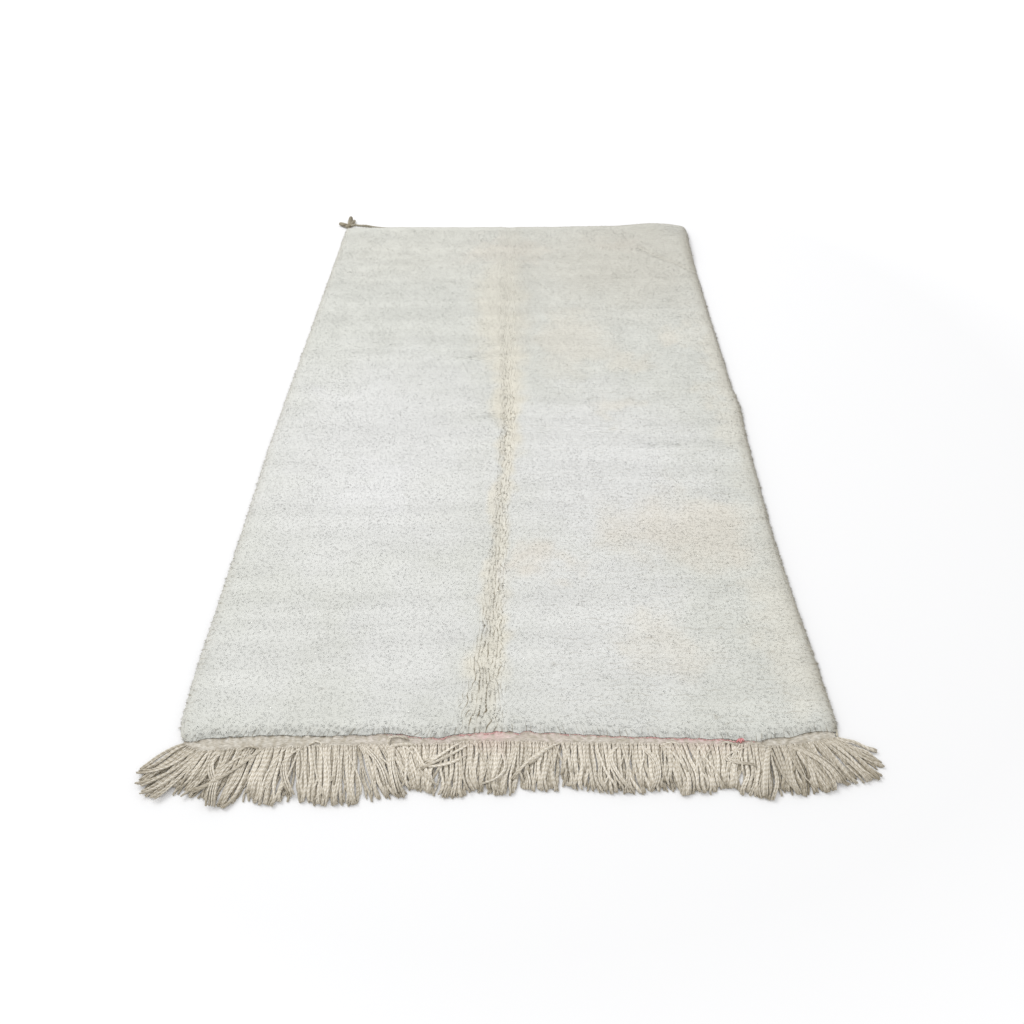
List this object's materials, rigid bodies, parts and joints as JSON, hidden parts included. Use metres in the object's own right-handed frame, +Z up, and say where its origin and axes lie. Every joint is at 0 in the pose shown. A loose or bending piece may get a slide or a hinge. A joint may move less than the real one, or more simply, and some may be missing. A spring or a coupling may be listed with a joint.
{
  "type": "shag pile rug",
  "caption": "Flat rectangular hand-knotted wool shag rug, ivory pile with a soft lengthwise fold line, kilim band and long warp fringe at one end, corner tassel at the other.",
  "frame": {"origin": "on the floor under the middle of the pile field", "axes": "+Z up; Y along the rug, with the fringe and kilim band at the -Y end; X across the rug"},
  "size_m": [1.636, 2.7798, 0.0415],
  "materials": {
    "ivory_pile": "matte ivory hand-knotted wool pile",
    "warp_yarn": "matte beige plied wool warp ends",
    "edge_cord": "matte grey-brown overcast wool cord",
    "tassel_wool": "matte grey-beige braided wool"
  },
  "bodies": {
    "root": {"rug_field": "ivory_pile", "near_fringe": "warp_yarn", "selvedge_left": "edge_cord", "selvedge_right": "edge_cord", "far_end_cord": "edge_cord", "corner_tassel": "tassel_wool"}
  },
  "joints": []
}
